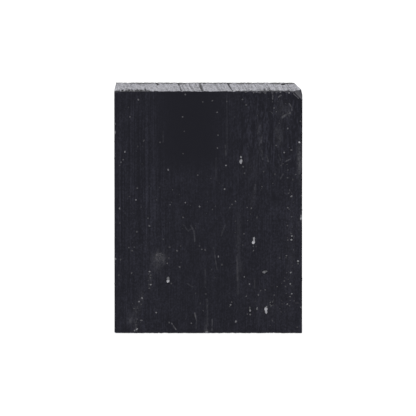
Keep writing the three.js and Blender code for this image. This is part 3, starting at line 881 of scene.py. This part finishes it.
def pressed_colour(graph, place, darkness_and_shade, fine, grain):
    """The pressed faces: lines and streaks, mottling, fine grain, and dashes at the upper right."""
    x, _, z = graph.split(place)
    lines = graph.product(graph.centred(graph.noise(place, "lines")), graph.attribute("striped"))
    upper_right = graph.product(graph.step(x, 4.0, 10.0), graph.step(z, 34.0, 48.0, 0.15, 1.0))
    dashes = graph.product(graph.centred(graph.noise(place, "dashes")), upper_right)
    wide = graph.noise(place, "wide")
    mottle = graph.noise(place, "mottle")
    tone = graph.weighted((wide, 0.4), (fine, 0.9), (mottle, 0.8), (grain, 1.8), (lines, 1.5), (dashes, 2.9))
    tone = graph.product(graph.step(tone, 1.58, 2.92), graph.math("SUBTRACT", 1.0, darkness_and_shade))
    return graph.mix(tone, "charcoal_dark", "charcoal_pale")


def dust_mask(graph, place):
    """Smudges and strokes of pale dust on the front."""
    speckle = graph.step(graph.noise(place, "speckle"), 0.32, 0.65)
    smudges = graph.product(graph.attribute("smudge"), speckle)
    front = graph.step(graph.split(place)[1], FRONT + 1.2, FRONT + 0.6)
    gaps = graph.step(graph.noise(place, "stroke_gaps"), 0.3, 0.6)
    strokes = graph.product(graph.product(stroke_mask(graph, place, STROKES), front), gaps)
    return graph.math("MINIMUM", graph.math("MAXIMUM", smudges, strokes), 1.0)


def sawn_mask(graph, place, fresh):
    """1 on the sawn ends: the outermost tenths of a millimetre that face up or down and aren't broken."""
    geometry = graph.tree.nodes.new("ShaderNodeNewGeometry")
    upright = graph.math("ABSOLUTE", graph.split(geometry.outputs["Normal"])[2])
    height = graph.math("ABSOLUTE", graph.math("SUBTRACT", graph.split(place)[2], (TOP + BASE) / 2))
    half = (TOP - BASE) / 2
    sawn = graph.product(graph.step(height, half - 0.7, half - 0.35), graph.step(upright, 0.3, 0.7))
    return graph.product(sawn, graph.step(fresh, 0.2, 0.8, 1.0, 0.0))


def sawn_colour(graph, place, kerf, furrow_shade):
    """The sawn ends: pale grey that is partly dust and partly painted sheen for their bright grazing
    reflection, with painted shade in the saw's marks.
    """
    scoring = graph.product(graph.centred(kerf), graph.attribute("scored"))
    patches = graph.noise(place, "patches")
    crumbs = graph.noise(place, "crumbs")
    # Where this share is high the ends take the pale grey: dust with painted sheen.
    dust_and_sheen_share = graph.step(graph.weighted((scoring, 2.4), (patches, 0.8), (crumbs, 2.4)), 1.0, 2.0)
    # Painted shade: the marks, tears and holes of the ends are darkened almost to black.
    return graph.mix(furrow_shade, graph.mix(dust_and_sheen_share, "sawn_dark", "sawn_dust_and_sheen"), "furrow_shade")


def charcoal_material():
    graph = Graph("charcoal")
    place = graph.place()
    x, y, _ = graph.split(place)
    fresh = graph.attribute("fresh_break")
    furrow_shade = graph.attribute("furrow_shade")
    fine = graph.noise(place, "fine")
    grain = graph.noise(place, "grain")
    slant = graph.math("ADD", x, graph.product(y, math.tan(SAW_ANGLE)))
    kerf = graph.noise(graph.join(x=slant, y=y), "kerf")
    sawn = sawn_mask(graph, place, fresh)
    # Painted shade: the rims of the dents and of the chipped corner darken the colour.
    darkness_and_shade = graph.math("MAXIMUM", graph.attribute("darkness_and_shade"), stroke_mask(graph, place, DENT_RIM_SHADE))

    colour = pressed_colour(graph, place, darkness_and_shade, fine, grain)
    colour = graph.mix(dust_mask(graph, place), colour, "dust")
    break_grain = graph.step(graph.noise(place, "break_grain"), 0.3, 0.75)
    colour = graph.mix(fresh, colour, graph.mix(break_grain, "break_dark", "break_pale"))
    colour = graph.mix(sawn, colour, sawn_colour(graph, place, kerf, furrow_shade))
    graph.set("Base Color", colour)

    pressed_rough = graph.step(graph.math("ADD", fine, grain), 0.7, 1.3, 0.38, 0.55)
    sawn_rough = graph.product(sawn, graph.step(furrow_shade, 0.0, 0.8, 0.62, 1.0))
    rough = graph.math("MAXIMUM", pressed_rough, sawn_rough)
    graph.set("Roughness", graph.math("MAXIMUM", rough, graph.product(fresh, 0.6)))
    graph.set("Specular IOR Level", 0.1)
    graph.set("Sheen Weight", 0.25)
    graph.set("Sheen Roughness", 0.4)

    pressed_relief = graph.weighted((fine, 0.5), (grain, 0.8))
    pressed_relief = graph.product(pressed_relief, graph.step(darkness_and_shade, 0.0, 1.0, 1.0, 0.4))
    relief = graph.math("MULTIPLY_ADD", graph.product(kerf, sawn), 1.5, pressed_relief)
    graph.bump(relief, 0.05, 0.7)
    return graph.material


def grain_material():
    graph = Graph("pale_grain")
    cloud = graph.noise(graph.place(), "cloud")
    level = graph.product(graph.attribute("paleness"), graph.step(cloud, 0.25, 0.75, 0.6, 1.15))
    graph.set("Base Color", graph.mix(level, "grain_dark", "grain_pale"))
    graph.set("Roughness", graph.step(cloud, 0.3, 0.7, 0.5, 0.8))
    graph.set("Specular IOR Level", 0.3)
    graph.bump(cloud, 0.04, 0.8)
    return graph.material


# ---------------------------------------------------------------- pale grains

# Grains on the front that stand out: x, z, width, height, paleness, and the lean of those that lean.
# First the large flecks.
FRONT_GRAINS = (
    (7.98, 42.65, 0.75, 1.3, 0.42), (7.95, 43.75, 0.45, 0.6, 0.32, 0.3),
    (8.5, 41.3, 0.55, 0.5, 0.09, -0.4), (11.2, 23.55, 0.6, 0.95, 0.4, -0.1),
    (11.12, 23.0, 0.6, 0.9, 0.4, -0.2), (11.0, 22.6, 0.75, 0.8, 0.75, -0.3),
    (10.98, 21.65, 0.4, 0.45, 0.07), (11.02, 20.55, 0.45, 0.5, 0.13), (8.86, 39.7, 0.4, 0.4, 0.09),
    (13.65, 15.3, 0.85, 0.8, 0.2, 0.2), (14.1, 15.4, 0.8, 0.5, 0.15),
    (-9.84, 13.62, 0.75, 0.95, 0.2, 0.1), (-9.84, 13.02, 0.8, 0.75, 0.7), (-9.03, 12.45, 0.4, 0.5, 0.06),
    (14.1, 6.05, 0.85, 0.95, 0.6), (14.15, 5.35, 0.6, 1.1, 0.55, 0.1), (14.25, 6.7, 0.4, 0.6, 0.25),
    (10.22, 5.72, 0.45, 0.75, 0.28), (10.15, 6.45, 0.4, 0.6, 0.1), (10.28, 4.72, 0.45, 0.5, 0.16),
    (9.57, 4.85, 0.4, 0.4, 0.07), (11.88, 6.2, 0.4, 0.85, 0.17, -0.15), (21.95, 17.95, 0.6, 0.6, 0.35),
    (21.95, 17.3, 0.5, 0.55, 0.1),
    # A ring of fragments around a hole.
    (15.15, 7.7, 0.4, 0.5, 0.1, -0.5), (15.1, 7.2, 0.35, 0.5, 0.09, 0.4), (15.4, 6.9, 0.5, 0.3, 0.1),
    (15.85, 7.05, 0.35, 0.4, 0.08, -0.6), (15.75, 8.0, 0.3, 0.7, 0.09, -0.3),
    (15.95, 8.3, 0.25, 0.4, 0.06, -0.5),
    # The column of grains near the right edge.
    (20.27, 34.0, 0.75, 0.42, 0.26, 0.5), (19.4, 31.2, 0.45, 0.4, 0.14), (20.34, 28.95, 0.4, 0.4, 0.08),
    (19.3, 26.8, 0.5, 0.4, 0.11), (20.16, 24.85, 0.35, 0.4, 0.09), (20.4, 24.2, 0.45, 0.5, 0.28),
    (20.27, 23.25, 0.55, 0.45, 0.34, 0.2), (19.45, 23.2, 0.4, 0.4, 0.13), (19.07, 19.3, 0.5, 0.4, 0.13),
    (17.4, 18.75, 0.45, 0.5, 0.06), (20.16, 15.15, 0.65, 0.42, 0.22, 0.4),
    (18.55, 13.05, 0.6, 0.42, 0.08), (20.05, 12.35, 0.5, 0.45, 0.28), (20.4, 11.9, 0.35, 0.4, 0.06),
    (16.8, 11.65, 0.45, 0.4, 0.08), (18.9, 11.65, 0.4, 0.4, 0.09), (13.9, 10.85, 0.45, 0.45, 0.09),
    (20.4, 9.9, 0.45, 0.5, 0.22), (20.0, 9.2, 0.45, 0.4, 0.15), (16.1, 9.55, 0.4, 0.4, 0.09),
    (19.3, 7.35, 0.5, 0.45, 0.19), (19.85, 6.9, 0.4, 0.35, 0.08), (21.75, 1.6, 0.45, 0.4, 0.06),
    (12.25, 9.6, 0.6, 0.6, 0.1),
    # The upper right.
    (4.5, 57.4, 0.45, 0.5, 0.07), (8.35, 57.9, 0.5, 0.45, 0.1, 0.2), (9.2, 56.6, 0.5, 0.7, 0.08),
    (16.07, 55.8, 0.5, 0.5, 0.09), (19.7, 59.5, 0.6, 0.4, 0.35, 0.1), (17.27, 52.0, 0.45, 0.45, 0.06),
    (19.35, 50.75, 0.5, 0.5, 0.15), (22.45, 52.5, 0.4, 0.5, 0.07), (22.25, 47.35, 0.6, 0.65, 0.5),
    (16.55, 46.55, 0.55, 0.4, 0.08), (18.5, 44.85, 0.45, 0.5, 0.22), (20.3, 45.45, 0.65, 0.45, 0.1, 0.1),
    (13.5, 40.1, 0.45, 0.45, 0.06), (19.3, 38.6, 0.5, 0.4, 0.09), (19.95, 54.55, 0.6, 0.5, 0.1, 0.4),
    # The upper left and middle.
    (-17.05, 57.8, 0.6, 0.65, 0.13), (-5.6, 59.1, 0.5, 0.55, 0.1), (-1.35, 57.3, 0.45, 0.4, 0.06),
    (1.0, 57.6, 0.6, 0.42, 0.08, 0.5), (-19.1, 53.6, 0.4, 0.5, 0.11), (-6.25, 53.6, 0.5, 0.42, 0.12, 0.4),
    (2.2, 54.75, 0.7, 0.45, 0.09, 0.5), (-5.85, 50.05, 0.5, 0.35, 0.06), (2.36, 49.15, 0.45, 0.6, 0.08),
    (2.2, 45.9, 0.4, 0.45, 0.12), (-11.76, 47.35, 0.45, 0.4, 0.06), (-20.34, 45.0, 0.4, 0.55, 0.25),
    (-20.73, 43.05, 0.5, 0.45, 0.08), (-21.3, 42.4, 0.45, 0.45, 0.13), (-21.6, 41.6, 0.4, 0.35, 0.07),
    (-9.78, 40.55, 0.38, 0.55, 0.22), (-2.6, 39.25, 0.6, 0.5, 0.08, 0.4), (4.29, 41.6, 0.5, 0.5, 0.28),
    (-6.1, 44.55, 0.4, 0.35, 0.06),
    # The middle of the left.
    (-17.3, 36.05, 0.5, 0.45, 0.1), (-17.65, 33.1, 0.42, 0.45, 0.28),
    (-21.67, 31.0, 0.42, 0.75, 0.24, 0.15), (-21.6, 27.4, 0.4, 0.5, 0.08), (-14.7, 28.6, 0.5, 0.4, 0.07),
    (-14.37, 26.7, 0.6, 0.45, 0.13, -0.4), (-17.45, 25.25, 0.5, 0.45, 0.08),
    (-19.4, 21.35, 0.4, 0.5, 0.12), (-18.1, 21.4, 0.45, 0.4, 0.07, -0.3), (-18.55, 20.55, 0.6, 0.4, 0.08),
    (-9.3, 31.9, 0.38, 0.4, 0.12), (-11.0, 23.35, 0.5, 0.45, 0.07), (-9.45, 21.45, 0.6, 0.35, 0.06),
    # The middle.
    (3.95, 35.75, 0.45, 0.5, 0.22), (-5.63, 32.45, 0.42, 0.5, 0.17), (-2.12, 31.5, 0.45, 0.5, 0.2),
    (6.65, 32.75, 0.4, 0.5, 0.15), (5.78, 32.05, 0.45, 0.5, 0.1), (5.24, 31.25, 0.45, 0.4, 0.06),
    (9.46, 31.25, 0.45, 0.4, 0.08), (10.5, 31.1, 0.38, 0.6, 0.09), (13.1, 36.4, 0.5, 0.4, 0.08),
    (-6.17, 28.8, 0.45, 0.45, 0.08), (8.73, 24.75, 0.5, 0.45, 0.07), (8.43, 22.0, 0.45, 0.4, 0.06),
    (-2.16, 21.75, 0.45, 0.4, 0.07), (-1.58, 20.9, 0.5, 0.45, 0.09), (-0.77, 20.75, 0.5, 0.55, 0.07),
    (-7.64, 20.55, 0.55, 0.5, 0.12),
    # The lower middle.
    (2.46, 19.1, 0.45, 0.85, 0.2), (-7.0, 16.55, 0.5, 0.6, 0.1, -0.2), (8.8, 14.1, 0.35, 0.45, 0.17),
    (10.07, 12.3, 0.38, 0.4, 0.24), (9.3, 9.25, 0.55, 0.4, 0.09, 0.5), (5.75, 7.85, 0.42, 0.45, 0.06),
    (5.45, 7.15, 0.55, 0.42, 0.18, 0.6), (5.2, 6.75, 0.4, 0.35, 0.06), (6.75, 3.0, 0.5, 0.75, 0.19),
    (-4.17, 2.6, 0.4, 0.4, 0.15), (-0.6, 9.85, 0.5, 0.4, 0.06), (-9.57, 2.75, 0.4, 0.55, 0.1),
    (-3.2, 4.5, 0.3, 0.8, 0.1, 0.15), (-8.4, 1.75, 0.2, 1.5, 0.07, 0.6),
    # The trail below the rubbed patch at the lower left.
    (-14.34, 15.37, 0.6, 0.4, 0.22), (-14.09, 14.55, 0.4, 0.35, 0.07),
    (-14.2, 13.85, 0.55, 0.3, 0.1, -0.5), (-14.09, 12.16, 0.6, 0.42, 0.26, 0.4),
    (-14.39, 11.27, 0.55, 0.4, 0.09), (-16.18, 8.83, 0.45, 0.5, 0.25), (-16.96, 7.96, 0.45, 0.5, 0.26),
    (-12.72, 5.23, 0.42, 0.5, 0.28), (-18.73, 14.97, 0.4, 0.5, 0.1, -0.3),
    (-10.0, 17.4, 0.45, 0.45, 0.14), (-17.45, 1.1, 0.7, 0.45, 0.34, 0.5),
    (-18.05, 0.75, 0.5, 0.45, 0.2, 0.3), (-17.73, 2.23, 0.4, 0.4, 0.07), (-16.33, 3.3, 0.75, 0.4, 0.13),
    (-17.38, 3.6, 0.45, 0.35, 0.08),
    # Crumbs in the nicks of the edges.
    (22.62, 28.5, 0.5, 0.8, 0.4), (22.65, 29.2, 0.4, 0.8, 0.22), (22.7, 34.15, 0.3, 0.45, 0.2),
    (22.7, 31.1, 0.3, 0.6, 0.1), (22.65, 6.5, 0.35, 0.5, 0.25), (-22.7, 49.8, 0.4, 1.2, 0.2),
    (-22.7, 51.9, 0.35, 0.5, 0.14), (-22.65, 18.5, 0.5, 0.5, 0.3, 0.3), (-0.4, 0.4, 0.8, 0.45, 0.25),
    (9.1, 59.7, 0.6, 0.3, 0.12), (11.0, 59.55, 0.35, 0.4, 0.14), (12.5, 59.5, 0.7, 0.4, 0.08, 0.2),
    (13.9, 59.45, 0.6, 0.4, 0.09, -0.2), (16.6, 59.55, 0.4, 0.4, 0.1, 0.6), (17.6, 59.65, 0.35, 0.4, 0.2),
    # Specks in the rubbed patch.
    (-12.6, 19.5, 0.6, 0.45, 0.12, 0.3), (-11.8, 19.85, 0.8, 0.25, 0.09, 0.1),
    (-11.2, 19.6, 0.4, 0.3, 0.07, -0.5), (-12.2, 18.1, 0.3, 0.6, 0.06), (-12.0, 18.7, 0.4, 0.35, 0.06),
)
# Places on the front where faint grains crowd: centre (x, z), half-width, half-height, number.
GRAIN_SWARMS = (
    (20.0, 27.0, 1.3, 9.0, 22), (19.6, 12.0, 1.8, 7.5, 18), (19.5, 43.0, 2.0, 5.0, 10),
    (15.0, 5.0, 4.0, 3.5, 10), (-14.2, 14.0, 0.6, 2.6, 8), (-17.5, 6.0, 1.2, 4.0, 12),
    (17.0, 56.5, 5.0, 2.5, 12), (0.0, 27.0, 10.0, 9.0, 5), (-12.1, 18.8, 1.3, 0.9, 14),
)
SWARM_PALENESS = (0.02, 0.1)
STRAY_GRAINS = 200  # over the broad faces and the narrow sides
STRAYS_ON_BROAD_FACES = 0.75
STRAY_FRONT_PALENESS = (0.02, 0.06)
SMALLEST_GRAIN = 0.2
GRAIN_LEAN = 0.6
GRAIN_SPREAD = 0.28  # how lumpy the grains are
GRAIN_STEPS = (10, 7)  # points round and across each grain
GRAIN_THICKNESS = (0.2, 0.4)  # half of it at most, and as a share of the smaller of width and height
GRAIN_SINK = 0.55  # how deep a grain's middle lies, as a share of that
DEEPEST_SEAT = 0.1  # how far behind the front a listed grain in a pit or a nick may sit
RAY_CLEARANCE = 5  # how far off the block the rays that place the grains start


def surface_point(tree, origin, direction):
    """Where a ray meets the block's finished surface."""
    location = tree.ray_cast(Vector(origin) * MM, Vector(direction))[0]
    return np.array(location) / MM if location else None


def grain_shape(width, height, lean, thickness, seed):
    """A lumpy closed lens lying in the XZ plane, as points and faces that look outward."""
    around, rings = GRAIN_STEPS
    points = [(0.0, -1.0, 0.0)]
    for ring in range(1, rings):
        polar = math.pi * ring / rings
        for number in range(around):
            turn = 2 * math.pi * number / around
            wide = math.sin(polar)
            points.append((wide * math.cos(turn), -math.cos(polar), wide * math.sin(turn)))
    points.append((0.0, 1.0, 0.0))
    points = np.array(points)
    lump = 1 + GRAIN_SPREAD * noise(points + seed * 3.7, (0.9, 0.9, 0.9), 300)
    points = points * lump[:, None] * (width / 2, thickness, height / 2)
    points = points @ np.array(Matrix.Rotation(-lean, 3, "Y")).T
    faces = []
    last = len(points) - 1
    for number in range(around):
        following = (number + 1) % around
        faces.append((0, 1 + number, 1 + following))
        faces.append((last, last - around + following, last - around + number))
        for ring in range(rings - 2):
            row = 1 + ring * around
            faces.append((row + number, row + around + number, row + around + following, row + following))
    return points, faces


def grain_jobs():
    """Where each grain's ray starts and goes, and the grain's width, height, lean and paleness."""
    random = np.random.default_rng(5)
    inward = (0, 1, 0)
    jobs = []
    for x, z, width, height, pale, *lean in FRONT_GRAINS:
        jobs.append(((x, FRONT - RAY_CLEARANCE, z), inward, width, height, lean[0] if lean else 0.0, pale))
    for x, z, half_width, half_height, number in GRAIN_SWARMS:
        for _ in range(number):
            spot_x = x + half_width * random.uniform(-1, 1)
            spot = (spot_x, FRONT - RAY_CLEARANCE, z + half_height * random.uniform(-1, 1))
            size = SMALLEST_GRAIN + 0.2 * random.random() ** 2
            tall = size * random.uniform(0.8, 1.6)
            lean = random.uniform(-GRAIN_LEAN, GRAIN_LEAN)
            jobs.append((spot, inward, size, tall, lean, random.uniform(*SWARM_PALENESS)))
    for _ in range(STRAY_GRAINS):
        axis = 1 if random.random() < STRAYS_ON_BROAD_FACES else 0
        sign = 1 if random.random() < 0.5 else -1
        place = LOW + (HIGH - LOW) * random.uniform(0.02, 0.98, 3)
        place[axis] = (HIGH if sign > 0 else LOW)[axis] + sign * RAY_CLEARANCE
        direction = [0, 0, 0]
        direction[axis] = -sign
        size = SMALLEST_GRAIN + 0.3 * random.random() ** 2
        tall = size * random.uniform(0.8, 1.8)
        on_front = axis == 1 and sign < 0
        if on_front and calm_zone(place[None, :] * (1, 0, 1) + (0, FRONT, 0))[0] > 0.2:
            continue
        pale = random.uniform(*STRAY_FRONT_PALENESS) if on_front else 0.04 + 0.3 * random.random() ** 3
        lean = random.uniform(-GRAIN_LEAN, GRAIN_LEAN)
        jobs.append((place, direction, size, tall, lean, pale))
    return jobs


def make_grains(block):
    """The pale grains, each sunk in the block's finished surface."""
    tree = BVHTree.FromObject(block, bpy.context.evaluated_depsgraph_get())
    points, faces, paleness = [], [], []
    for number, (origin, direction, width, height, lean, pale) in enumerate(grain_jobs()):
        spot = surface_point(tree, origin, direction)
        if spot is None:
            continue
        thickness = min(GRAIN_THICKNESS[0], GRAIN_THICKNESS[1] * min(width, height))
        if number < len(FRONT_GRAINS):
            spot[1] = min(spot[1], FRONT + DEEPEST_SEAT)
        shape, shape_faces = grain_shape(width, height, lean, thickness, number)
        outward = Vector(-np.array(direction, dtype=float))
        facing = Vector((0, -1, 0)).rotation_difference(outward).to_matrix()
        shape = shape @ np.array(facing).T + spot + np.array(direction) * thickness * GRAIN_SINK
        faces.extend(tuple(index + len(paleness) for index in face) for face in shape_faces)
        points.append(shape)
        paleness.extend([pale] * len(shape))
    mesh = bpy.data.meshes.new("pale_grains")
    mesh.from_pydata((np.concatenate(points) * MM).tolist(), [], faces)
    write_attribute(mesh, "paleness", paleness)
    mesh.shade_smooth()
    return link(bpy.data.objects.new("pale_grains", mesh))


scene.view_settings.view_transform = "Standard"
make_camera()
make_floor()
make_world()
make_overhead_lamp()

block = make_block()
block.data.materials.append(charcoal_material())
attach(block, "root")
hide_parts("charcoal_block")

grains = make_grains(block)
grains.data.materials.append(grain_material())
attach(grains, "root")
